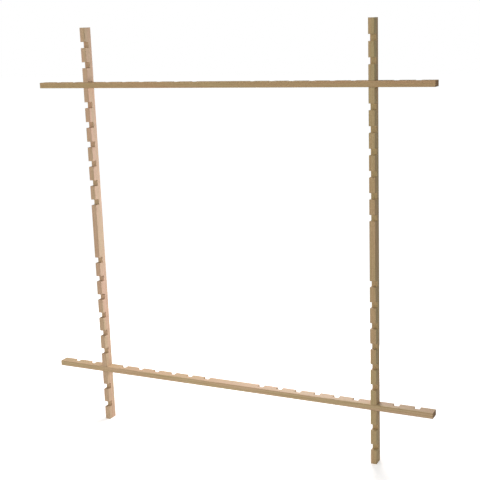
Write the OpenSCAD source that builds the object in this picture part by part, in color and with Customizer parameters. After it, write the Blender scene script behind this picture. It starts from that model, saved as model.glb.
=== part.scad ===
// Adjustable embroidery frame: four alike notched bars that lock into one another with half laps.
// The uprights have their notches in front and the cross bars have theirs behind, so all the faces are flush.
// Millimetres, +Z up, front towards -Y, origin on the ground midway between the uprights.

/* [Bar] */
// Width of a bar, seen from the front of the frame
bar_w = 13.5; // [10:0.5:20]
// Depth of a bar, from the front of the frame to its back
bar_d = 26; // [18:0.5:36]
// Radius of the eased long edges
edge_r = 1; // [0.4:0.1:2]
// Radius of the eased edges round each end
end_r = 0.8; // [0.4:0.1:2]

/* [Notches] */
// Notches in each half of a bar
notches_per_half = 9; // [3:1:14]
// Length of the block left standing between two notches
block_len = 33.8; // [20:0.2:60]
// Length of the block left standing at each end
end_len = 33.8; // [15:0.2:60]
// Length of the plain middle, between the two rows of notches
middle_len = 134; // [20:1:300]

/* [Setting] */
// Notch of the cross bars that the uprights sit in, counted from the end
width_notch = 3; // [1:1:9]
// Notch of the uprights that the cross bars sit in, counted from the end
height_notch = 3; // [1:1:9]

/* [Fit] */
// Room on each side of a bar in its notch
side_gap = 0.35; // [0.1:0.05:1]
// Room between the floors of two notches that lock together
floor_gap = 0.2; // [0.1:0.05:1]

/* [Hidden] */

// How far a cutting or trimming shape runs past the wood
past = 2;
// Facets of a full circle
$fn = 32;

notch_w = bar_w + 2 * side_gap;
// Half the bar each, and half the room between the floors
notch_d = (bar_d + floor_gap) / 2;
pitch = block_len + notch_w;
half_len = middle_len / 2 + (notches_per_half - 1) * pitch + notch_w + end_len;
bar_len = 2 * half_len;

// Distance from the middle of a bar to the middle of notch n, counted from its end
function notch_place(n) = half_len - end_len - notch_w / 2 - (n - 1) * pitch;

// Flat rectangle with rounded corners, about its middle
module rounded_rect(across, along, r) {
    square([across - 2 * r, along], center = true);
    square([across, along - 2 * r], center = true);
    for (x = [-1, 1], y = [-1, 1])
        translate([x * (across / 2 - r), y * (along / 2 - r)])
            circle(r = r);
}

// Plain squared stick along Z, about its middle, with every edge eased
module blank() {
    intersection() {
        linear_extrude(bar_len + 2 * past, center = true)
            rounded_rect(bar_w, bar_d, edge_r);
        rotate([90, 0, 0])
            linear_extrude(bar_d + 2 * past, center = true)
                rounded_rect(bar_w, bar_len, end_r);
        rotate([90, 0, 90])
            linear_extrude(bar_w + 2 * past, center = true)
                rounded_rect(bar_d, bar_len, end_r);
    }
}

// What the cutter takes out for one notch, from the -Y face inwards
module notch_cut() {
    translate([-bar_w / 2 - past, -bar_d / 2 - past, -notch_w / 2])
        cube([bar_w + 2 * past, notch_d + past, notch_w]);
}

// One bar along Z, about its middle, with its notches towards -Y
module notched_bar() {
    difference() {
        blank();
        for (half = [-1, 1], n = [1 : notches_per_half])
            translate([0, 0, half * notch_place(n)])
                notch_cut();
    }
}

// A bar standing on its end, notches to the front; side is -1 for the left and 1 for the right
module upright(side) {
    translate([side * notch_place(width_notch), 0, half_len])
        notched_bar();
}

// A bar lying across, notches to the back; level is -1 for the bottom and 1 for the top
module cross_bar(level) {
    translate([0, 0, half_len + level * notch_place(height_notch)])
        rotate([0, 90, 180])
            notched_bar();
}

module left_bar() color("#c9a884") upright(-1);
module right_bar() color("#bb9d74") upright(1);
module top_bar() color("#c4a179") cross_bar(1);
module bottom_bar() color("#cfae88") cross_bar(-1);

left_bar();
right_bar();
top_bar();
bottom_bar();
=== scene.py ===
# Adjustable embroidery frame: four alike notched beech bars, dressed over their solids
import math
import random
import bpy
from mathutils import Matrix, Vector


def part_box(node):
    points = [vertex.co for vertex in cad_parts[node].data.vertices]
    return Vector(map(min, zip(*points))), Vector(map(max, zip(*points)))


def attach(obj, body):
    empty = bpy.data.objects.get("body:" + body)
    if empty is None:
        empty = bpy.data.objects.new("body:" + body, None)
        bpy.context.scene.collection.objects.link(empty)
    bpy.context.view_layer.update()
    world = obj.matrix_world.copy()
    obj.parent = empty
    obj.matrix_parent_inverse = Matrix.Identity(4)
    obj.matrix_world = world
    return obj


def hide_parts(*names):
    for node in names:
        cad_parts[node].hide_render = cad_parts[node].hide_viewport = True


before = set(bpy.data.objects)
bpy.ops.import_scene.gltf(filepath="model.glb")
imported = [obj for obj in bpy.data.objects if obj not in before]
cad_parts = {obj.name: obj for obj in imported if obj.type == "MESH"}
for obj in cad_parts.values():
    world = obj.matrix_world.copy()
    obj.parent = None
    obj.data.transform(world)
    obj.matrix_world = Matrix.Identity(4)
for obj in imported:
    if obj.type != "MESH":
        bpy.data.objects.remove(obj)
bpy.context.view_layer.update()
mm = 0.001
print("solids loaded:", ", ".join(sorted(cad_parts)))


# Camera: to the right of the frame and level with its top, looking down and left
cameraSetting = {
    "place": (1.0424, -2.0196, 0.9976),  # metres
    "yaw": 26.53,  # degrees to the left of straight ahead
    "pitch": -12.41,  # degrees, below the horizon
    "roll": 2.04,  # degrees
    "sensor": 36,  # mm
    "lens": 74.2,  # mm
    "reach": 50,  # metres, past the far edge of the floor
}


def turn(degrees, axis):
    return Matrix.Rotation(math.radians(degrees), 4, axis)


def placeCamera():
    bpy.ops.object.camera_add()
    camera = bpy.context.object
    camera.name = "photoCamera"
    camera.data.sensor_width = cameraSetting["sensor"]
    camera.data.lens = cameraSetting["lens"]
    camera.data.clip_end = cameraSetting["reach"]
    aim = turn(cameraSetting["yaw"], "Z")
    aim = aim @ turn(cameraSetting["pitch"], "X") @ turn(cameraSetting["roll"], "Y")
    level = turn(90, "X")  # a camera looks down until it is tipped up to the horizon
    camera.matrix_world = Matrix.Translation(cameraSetting["place"]) @ aim @ level
    bpy.context.scene.camera = camera


placeCamera()
print("camera placed")


# Bars: one is carved, and the four are copies of it
barSetting = {
    "arris": 1.0,  # mm, radius of the long edges, eased with a plane and sandpaper
    "endArris": 0.8,  # mm, round the two ends
    "lip": 0.35,  # mm, edges of the notches, only just broken
    "segments": 3,  # faces across each eased edge
    "uneven": 0.25,  # share by which hand sanding varies an edge
    "chips": 6,  # block corners that lost a splinter, on each bar
    "chipSmall": 0.5,  # mm
    "chipLarge": 1.1,  # mm
    "smoothUnder": 35,  # degrees, the sharpest fold that is shaded as a round
}
lyingBars = {"left_bar": False, "right_bar": False, "top_bar": True, "bottom_bar": True}
touch = 0.05 * mm  # places closer than this are one place


def isNear(a, b):
    return abs(a - b) < touch


def barMiddle(node):
    low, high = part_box(node)
    return (low + high) / 2


def readPlan(node):
    # the size of an upright and, from its middle, the walls of its notches and the depth of their floors
    low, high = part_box(node)
    middle = barMiddle(node)
    skin = 2 * barSetting["arris"] * mm
    inside = [v.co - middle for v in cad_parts[node].data.vertices
              if low.y + skin < v.co.y < high.y - skin]
    walls = sorted({round(place.z, 5) for place in inside})  # to 0.01 mm
    return {"size": high - low, "walls": walls, "floor": inside[0].y}


def pick(bar, kind, test):
    # in edit mode, with only the faces or corners selected whose place passes the test
    bpy.ops.object.mode_set(mode="EDIT")
    bpy.ops.mesh.select_mode(type=kind)
    bpy.ops.mesh.select_all(action="DESELECT")
    bpy.ops.object.mode_set(mode="OBJECT")
    if kind == "FACE":
        for face in bar.data.polygons:
            face.select = test(face.center)
    else:
        for corner in bar.data.vertices:
            corner.select = test(corner.co)
    bpy.ops.object.mode_set(mode="EDIT")


def carveBar(plan):
    # a web as long as the bar, with a block drawn out of it beside each notch
    size = plan["size"]
    floor = plan["floor"]
    webDepth = size.y / 2 - floor
    webMiddle = (0, floor + webDepth / 2, 0)
    bpy.ops.object.select_all(action="DESELECT")
    bpy.ops.mesh.primitive_cube_add(size=1, location=webMiddle, scale=(size.x, webDepth, size.z))
    bar = bpy.context.object
    bar.name = "notchedBar"
    bpy.ops.object.transform_apply(location=True, rotation=True, scale=True)
    bpy.ops.object.mode_set(mode="EDIT")
    for wall in plan["walls"]:
        bpy.ops.mesh.select_all(action="SELECT")
        bpy.ops.mesh.bisect(plane_co=(0, 0, wall), plane_no=(0, 0, 1))
    notches = list(zip(plan["walls"][0::2], plan["walls"][1::2]))

    def isBlock(place):
        inNotch = any(lower < place.z < upper for lower, upper in notches)
        return isNear(place.y, floor) and not inNotch

    pick(bar, "FACE", isBlock)
    blockDepth = size.y / 2 + floor
    bpy.ops.mesh.extrude_region_move(TRANSFORM_OT_translate={"value": (0, -blockDepth, 0)})
    bpy.ops.mesh.select_all(action="SELECT")
    bpy.ops.mesh.dissolve_limited(angle_limit=math.radians(1))
    bpy.ops.mesh.select_all(action="SELECT")
    bpy.ops.mesh.normals_make_consistent(inside=False)
    bpy.ops.object.mode_set(mode="OBJECT")
    return bar


def chipCorners(bar, plan, chance):
    # a few block corners at the notch mouths have lost a splinter
    half = plan["size"] / 2
    for _ in range(barSetting["chips"]):
        wall = chance.choice(plan["walls"])
        side = chance.choice((-1, 1))
        mouth = Vector((side * half.x, -half.y, wall))
        pick(bar, "VERT", lambda place: (place - mouth).length < touch)
        offset = chance.uniform(barSetting["chipSmall"], barSetting["chipLarge"]) * mm
        bpy.ops.mesh.bevel(offset=offset, affect="VERTICES")
        bpy.ops.object.mode_set(mode="OBJECT")


def edgeRadius(a, b, plan):
    # mm, by which sort of edge runs from a to b, or nothing for the inner corners of a notch
    half = plan["size"] / 2
    middle = (a + b) / 2
    along = isNear(a.x, b.x) and isNear(a.y, b.y)
    if isNear(abs(middle.z), half.z):
        return barSetting["endArris"]
    if along and isNear(abs(middle.y), half.y):
        return barSetting["arris"]
    if isNear(middle.y, plan["floor"]) and not along:
        return None
    return barSetting["lip"]


def easeEdges(bar, plan, chance):
    # one bevel does every edge, each with its own share of the widest radius
    uneven = barSetting["uneven"]
    widest = barSetting["arris"] * (1 + uneven)
    weights = bar.data.attributes.new("bevel_weight_edge", "FLOAT", "EDGE")
    for edge in bar.data.edges:
        a, b = (bar.data.vertices[i].co for i in edge.vertices)
        radius = edgeRadius(a, b, plan)
        if radius is None:
            continue
        radius *= 1 + chance.uniform(-1, 1) * uneven
        weights.data[edge.index].value = min(1, radius / widest)
    bevel = bar.modifiers.new("easedEdges", "BEVEL")
    bevel.limit_method = "WEIGHT"
    bevel.width = widest * mm
    bevel.segments = barSetting["segments"]
    bevel.harden_normals = True
    bpy.ops.object.modifier_apply(modifier=bevel.name)


def smoothEdges(bar):
    # the eased edges shade as rounds, and the planed faces stay flat right up to them
    bpy.ops.object.shade_smooth_by_angle(angle=math.radians(barSetting["smoothUnder"]))
    flatten = bar.modifiers.new("flatFaces", "WEIGHTED_NORMAL")
    flatten.weight = 100
    flatten.keep_sharp = True
    bpy.ops.object.modifier_apply(modifier=flatten.name)


def setBar(master, node, plan, seed):
    # one bar in its place: chipped, eased and riding on its own body
    chance = random.Random(seed)
    bar = master.copy()
    bar.data = master.data.copy()
    bar.name = node + "_beech"
    bpy.context.collection.objects.link(bar)
    bpy.ops.object.select_all(action="DESELECT")
    bar.select_set(True)
    bpy.context.view_layer.objects.active = bar
    chipCorners(bar, plan, chance)
    easeEdges(bar, plan, chance)
    smoothEdges(bar)
    bar.matrix_world = Matrix.Translation(barMiddle(node))
    if lyingBars[node]:
        # laid along X, and turned so that its notches open to the back
        bar.matrix_world = bar.matrix_world @ turn(180, "Z") @ turn(90, "Y")
    bpy.ops.object.transform_apply(location=True, rotation=True, scale=True)
    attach(bar, node)
    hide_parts(node)
    return bar


barPlan = readPlan("left_bar")
masterBar = carveBar(barPlan)
bars = {node: setBar(masterBar, node, barPlan, seed) for seed, node in enumerate(lyingBars)}
bpy.data.objects.remove(masterBar)
print("bars carved:", len(bars))


# Materials
def hexColour(code):
    # a colour as a picture editor shows it, made linear
    parts = [int(code[i:i + 2], 16) / 255 for i in (1, 3, 5)]
    return [p / 12.92 if p <= 0.04045 else ((p + 0.055) / 1.055) ** 2.4 for p in parts] + [1]


def addNode(tree, kind, inputs=None, **settings):
    # one node with its settings; an input takes a value, a socket, or a node for its first output
    node = tree.nodes.new("ShaderNode" + kind)
    for name, value in settings.items():
        setattr(node, name, value)
    for name, value in (inputs or {}).items():
        if isinstance(value, bpy.types.Node):
            value = value.outputs[0]
        if isinstance(value, bpy.types.NodeSocket):
            tree.links.new(value, node.inputs[name])
        else:
            node.inputs[name].default_value = value
    return node


def newMaterial(name):
    material = bpy.data.materials.new(name)
    material.use_nodes = True
    material.node_tree.nodes.clear()
    return material, material.node_tree


# Beech, planed to its section and notched with a cutter: lengths are in mm on the wood
beechSetting = {
    "ringWide": 2.6,  # one year's growth
    "ringStray": 8.8,  # how far the rings stray from true circles, from one side to the other
    "strayWide": 16,
    "strayLong": 240,
    "lateWood": (0.55, 0.97),  # where in a year's growth the dark late wood starts and is fullest
    "lateShare": 0.55,
    "rayHigh": 2.6,  # a ray fleck, along the grain
    "rayWide": 0.7,  # and round the tree
    "rayDeep": 9.0,  # and out from its heart
    "rayEdge": (0.42, 0.18),  # from the rim of a fleck to its full colour, in flecks
    "raySpread": 0.95,  # how unevenly the flecks lie
    "rayShare": 0.5,
    "fibreWide": 0.9,  # coarser than real pores, so that they show at arm's length
    "fibreLong": 60.0,
    "fibreDark": (0.52, 0.78),  # which part of the fibres shows as streaks
    "fibreShare": 0.34,
    "driftWide": 14.0,  # slow change between pinkish and olive wood
    "driftLong": 210.0,
    "driftEdge": (0.34, 0.66),
    "endFacing": (0.6, 0.95),  # how squarely a face looks along the bar to count as end grain
    "endShare": 0.85,  # how far the cut ends go to their own darker colour
    "cutterStep": 2.4,  # marks that the notching cutter left
    "planedRough": (0.6, 0.74),  # between the fibres and on them
    "cutRough": (0.6, 0.8),
    "fibreHeight": 0.5,  # heights are shares of the relief
    "rayHeight": 0.15,
    "toothHeight": 0.25,
    "relief": 0.2,
    "reliefStrength": 0.35,
    "ior": 1.38,  # bare wood, so a low one
    "grainRough": 0.55,  # how strongly the finer noise adds to the coarser
    "seedStep": (7.3, 3.1, 5.7),  # gives each pattern a place of its own in the noise
}

# The heart of the tree lies off to one side of each bar, in mm from its middle
barLook = {
    "left_bar": {"warm": "#dab9a0", "cool": "#cdba98", "late": "#a98560", "ray": "#a07a56",
                 "end": "#8d6b49", "heart": (46, 31)},
    "right_bar": {"warm": "#cdb08a", "cool": "#c2b185", "late": "#a08058", "ray": "#96744c",
                  "end": "#856541", "heart": (-52, 24)},
    "top_bar": {"warm": "#c8a681", "cool": "#c2ac82", "late": "#a8845c", "ray": "#9d7850",
                "end": "#8a6944", "heart": (35, -44)},
    "bottom_bar": {"warm": "#d8b89a", "cool": "#ccb890", "late": "#ab8862", "ray": "#a27d58",
                   "end": "#8f6d4b", "heart": (-30, -52)},
}


def barAxes(tree, node, place):
    # mm from the middle of a bar, with Z along its grain whichever way the bar is set
    quarter = -math.pi / 2 if lyingBars[node] else 0
    shift = -(Matrix.Rotation(quarter, 3, "Y") @ barMiddle(node)) / mm
    return addNode(tree, "Mapping", {"Vector": place.outputs["Object"], "Scale": (1 / mm, 1 / mm, 1 / mm),
                                     "Rotation": (0, quarter, 0), "Location": shift})


def grain(tree, where, wide, long, detail, seed):
    # grey clouds, drawn out along the bar
    start = [seed * step for step in beechSetting["seedStep"]]
    stretch = addNode(tree, "Mapping", {"Vector": where, "Scale": (1 / wide, 1 / wide, 1 / long),
                                        "Location": start})
    return addNode(tree, "TexNoise", {"Vector": stretch, "Scale": 1, "Detail": detail,
                                      "Roughness": beechSetting["grainRough"]})


def treeAxes(tree, where, look):
    # a point of the wood by its angle about the tree's heart, its distance from it, and its height
    heart = (look["heart"][0], look["heart"][1], 0)
    fromHeart = addNode(tree, "VectorMath", {0: where, 1: heart}, operation="SUBTRACT")
    axes = addNode(tree, "SeparateXYZ", {0: fromHeart})
    angle = addNode(tree, "Math", {0: axes.outputs["Y"], 1: axes.outputs["X"]}, operation="ARCTAN2")
    flat = addNode(tree, "CombineXYZ", {"X": axes.outputs["X"], "Y": axes.outputs["Y"]})
    outward = addNode(tree, "VectorMath", {0: flat}, operation="LENGTH")
    return angle, outward.outputs["Value"], axes.outputs["Z"]


def yearRings(tree, where, outward, seed):
    # 1 on the dark late wood of each year, 0 on the rest
    wood = beechSetting
    clouds = grain(tree, where, wood["strayWide"], wood["strayLong"], 2, seed)
    stray = addNode(tree, "Math", {0: clouds, 1: wood["ringStray"]}, operation="MULTIPLY")
    strayed = addNode(tree, "Math", {0: outward, 1: stray}, operation="ADD")
    years = addNode(tree, "Math", {0: strayed, 1: wood["ringWide"]}, operation="DIVIDE")
    year = addNode(tree, "Math", {0: years}, operation="FRACT")
    start, full = wood["lateWood"]
    return addNode(tree, "MapRange", {"Value": year, "From Min": start, "From Max": full})


def rayFlecks(tree, angle, outward, height, look):
    # rays run out from the heart, and show as short dashes along the grain
    wood = beechSetting
    perFleck = math.hypot(*look["heart"]) / wood["rayWide"]
    around = addNode(tree, "Math", {0: angle, 1: perFleck}, operation="MULTIPLY")
    deep = addNode(tree, "Math", {0: outward, 1: wood["rayDeep"]}, operation="DIVIDE")
    high = addNode(tree, "Math", {0: height, 1: wood["rayHigh"]}, operation="DIVIDE")
    flecks = addNode(tree, "CombineXYZ", {"X": around, "Y": deep, "Z": high})
    cells = addNode(tree, "TexVoronoi", {"Vector": flecks, "Scale": 1, "Randomness": wood["raySpread"]})
    rim, core = wood["rayEdge"]
    return addNode(tree, "MapRange", {"Value": cells, "From Min": rim, "From Max": core})


def stain(tree, colour, mask, share, code):
    # the colour so far, taken towards another where the mask is bright
    amount = addNode(tree, "Math", {0: mask, 1: share}, operation="MULTIPLY")
    mix = addNode(tree, "Mix", {0: amount, 6: colour, 7: hexColour(code)}, data_type="RGBA")
    return mix.outputs[2]


def woodColour(tree, where, rings, rays, fibre, look, seed):
    wood = beechSetting
    clouds = grain(tree, where, wood["driftWide"], wood["driftLong"], 2, seed)
    low, high = wood["driftEdge"]
    drift = addNode(tree, "MapRange", {"Value": clouds, "From Min": low, "From Max": high})
    low, high = wood["fibreDark"]
    streak = addNode(tree, "MapRange", {"Value": fibre, "From Min": low, "From Max": high})
    colour = stain(tree, hexColour(look["warm"]), drift, 1, look["cool"])
    colour = stain(tree, colour, rings, wood["lateShare"], look["late"])
    colour = stain(tree, colour, streak, wood["fibreShare"], look["ray"])
    return stain(tree, colour, rays, wood["rayShare"], look["ray"])


def endGrain(tree, node, place):
    # 1 on a face that looks along the bar
    facing = addNode(tree, "SeparateXYZ", {0: place.outputs["Normal"]})
    square = addNode(tree, "Math", {0: facing.outputs["X" if lyingBars[node] else "Z"]}, operation="ABSOLUTE")
    start, full = beechSetting["endFacing"]
    return addNode(tree, "MapRange", {"Value": square, "From Min": start, "From Max": full})


def cutterMarks(tree, where, relief):
    # ridges across a notch, where the teeth of the cutter went through
    axes = addNode(tree, "SeparateXYZ", {0: where})
    perMark = 2 * math.pi / beechSetting["cutterStep"]
    phase = addNode(tree, "Math", {0: axes.outputs["X"], 1: perMark}, operation="MULTIPLY")
    teeth = addNode(tree, "Math", {0: phase}, operation="SINE")
    height = addNode(tree, "Math", {0: teeth, 1: beechSetting["toothHeight"]}, operation="MULTIPLY")
    return addNode(tree, "Math", {0: relief, 1: height}, operation="ADD")


def beech(node, seed, isCut):
    # planed beech shows short brown ray flecks over faint rings; a cut notch is duller and ridged
    look = barLook[node]
    wood = beechSetting
    material, tree = newMaterial(node + ("_beech_cut" if isCut else "_beech_planed"))
    place = addNode(tree, "TexCoord")
    where = barAxes(tree, node, place)
    angle, outward, height = treeAxes(tree, where, look)
    rings = yearRings(tree, where, outward, seed)
    rays = rayFlecks(tree, angle, outward, height, look)
    fibre = grain(tree, where, wood["fibreWide"], wood["fibreLong"], 3, seed + 1)
    colour = woodColour(tree, where, rings, rays, fibre, look, seed + 2)

    fibreRise = addNode(tree, "Math", {0: fibre, 1: wood["fibreHeight"]}, operation="MULTIPLY")
    rayDip = addNode(tree, "Math", {0: rays, 1: wood["rayHeight"]}, operation="MULTIPLY")
    relief = addNode(tree, "Math", {0: fibreRise, 1: rayDip}, operation="SUBTRACT")
    if isCut:
        relief = cutterMarks(tree, where, relief)
    else:
        colour = stain(tree, colour, endGrain(tree, node, place), wood["endShare"], look["end"])
    bump = addNode(tree, "Bump", {"Strength": wood["reliefStrength"], "Distance": wood["relief"] * mm,
                                  "Height": relief})
    smooth, coarse = wood["cutRough" if isCut else "planedRough"]
    rough = addNode(tree, "MapRange", {"Value": fibre, "To Min": smooth, "To Max": coarse})
    skin = addNode(tree, "BsdfPrincipled", {"Base Color": colour, "Roughness": rough, "IOR": wood["ior"],
                                            "Normal": bump})
    addNode(tree, "OutputMaterial", {"Surface": skin})
    return material


def dressBar(bar, node, seed):
    # planed faces take the first slot, and the floors and walls of the notches the second
    bar.data.materials.clear()
    bar.data.materials.append(beech(node, seed, False))
    bar.data.materials.append(beech(node, seed, True))
    middle = barMiddle(node)
    endZone = 1.5 * barSetting["arris"] * mm
    square = 0.9  # how squarely a floor or a wall faces along its axis, at least
    for face in bar.data.polygons:
        place = face.center - middle
        alongPlace = abs(place.x if lyingBars[node] else place.z)
        alongFacing = abs(face.normal.x if lyingBars[node] else face.normal.z)
        isFloor = abs(abs(place.y) - abs(barPlan["floor"])) < 2 * touch and abs(face.normal.y) > square
        isWall = alongFacing > square and alongPlace < barPlan["size"].z / 2 - endZone
        face.material_index = 1 if isFloor or isWall else 0


patternStep = 10  # keeps the patterns of two bars apart
for number, (node, bar) in enumerate(bars.items()):
    dressBar(bar, node, number * patternStep)
print("beech made")


# Stage: a white paper floor, and white all round for the camera
stageSetting = {
    "floorWide": 30,  # metres
    "paper": 0.8,  # how white the floor is
    "nearLift": 0.5,  # added for the camera alone, close to the frame, where its shadow falls
    "farLift": 0.86,  # and further off, where floor and backdrop run together
    "near": 0.45,  # metres from the middle of the frame
    "far": 0.85,
    "air": 0.22,  # strength of the light that comes from all round
    "airColour": (0.88, 0.97, 1, 1),
}


def layFloor():
    # white paper: flat and even, with no gloss
    bpy.ops.mesh.primitive_plane_add(size=stageSetting["floorWide"])
    floor = bpy.context.object
    floor.name = "studioFloor"
    material, tree = newMaterial("whitePaper")
    white = stageSetting["paper"]
    paper = addNode(tree, "BsdfDiffuse", {"Color": (white, white, white, 1)})
    place = addNode(tree, "TexCoord")
    away = addNode(tree, "VectorMath", {0: place.outputs["Object"]}, operation="LENGTH")
    strength = addNode(tree, "MapRange", {
        "Value": away.outputs["Value"],
        "From Min": stageSetting["near"],
        "From Max": stageSetting["far"],
        "To Min": stageSetting["nearLift"],
        "To Max": stageSetting["farLift"],
    })
    lift = addNode(tree, "Emission", {"Strength": strength})
    lifted = addNode(tree, "AddShader", {0: paper, 1: lift})
    path = addNode(tree, "LightPath")
    seen = addNode(tree, "MixShader", {0: path.outputs["Is Camera Ray"], 1: paper, 2: lifted})
    addNode(tree, "OutputMaterial", {"Surface": seen})
    floor.data.materials.append(material)


def lightWorld():
    # white for what is seen straight, in a gloss or through glass, and soft light for the rest
    world = bpy.data.worlds.new("studio")
    bpy.context.scene.world = world
    world.use_nodes = True
    tree = world.node_tree
    tree.nodes.clear()
    air = addNode(tree, "Background", {"Color": stageSetting["airColour"], "Strength": stageSetting["air"]})
    white = addNode(tree, "Background", {"Color": (1, 1, 1, 1), "Strength": 1})
    path = addNode(tree, "LightPath")
    straight = path.outputs["Is Camera Ray"]
    glossy = addNode(tree, "Math", {0: straight, 1: path.outputs["Is Glossy Ray"]}, operation="MAXIMUM")
    seen = addNode(tree, "Math", {0: glossy, 1: path.outputs["Is Transmission Ray"]}, operation="MAXIMUM")
    mix = addNode(tree, "MixShader", {0: seen, 1: air, 2: white})
    addNode(tree, "OutputWorld", {"Surface": mix})


# A light behind the frame catches the inner sides and top faces, and the others fill in; places in metres
lampSetting = [
    {"name": "backLight", "place": (-0.1, 0.8, 0.5), "aim": (-0.4, 0, 0.35), "size": (0.6, 0.8),
     "watts": 14.5, "colour": (1, 0.9, 0.9)},
    {"name": "frontLight", "place": (-0.8, -2.6, 0.8), "aim": (0, 0, 0.45), "size": (1.2, 1.2),
     "watts": 22.5, "colour": (1, 0.92, 0.79)},
    {"name": "sideLight", "place": (2.2, -1.4, 1.2), "aim": (0, 0, 0.5), "size": (1.2, 1.2),
     "watts": 10.0, "colour": (1, 0.94, 0.9)},
    {"name": "topLight", "place": (-0.5, -0.2, 2.2), "aim": (-0.3, 0, 0), "size": (0.8, 0.8),
     "watts": 8.0, "colour": (1, 0.95, 0.93)},
]


def hangLamps():
    for lamp in lampSetting:
        data = bpy.data.lights.new(lamp["name"], "AREA")
        data.shape = "RECTANGLE"
        data.size, data.size_y = lamp["size"]
        data.energy = lamp["watts"]
        data.color = lamp["colour"]
        panel = bpy.data.objects.new(lamp["name"], data)
        place = Vector(lamp["place"])
        panel.location = place
        panel.rotation_euler = (Vector(lamp["aim"]) - place).to_track_quat("-Z", "Y").to_euler()
        panel.visible_camera = False
        bpy.context.collection.objects.link(panel)


layFloor()
lightWorld()
hangLamps()
bpy.context.scene.view_settings.view_transform = "Standard"
print("stage lit")
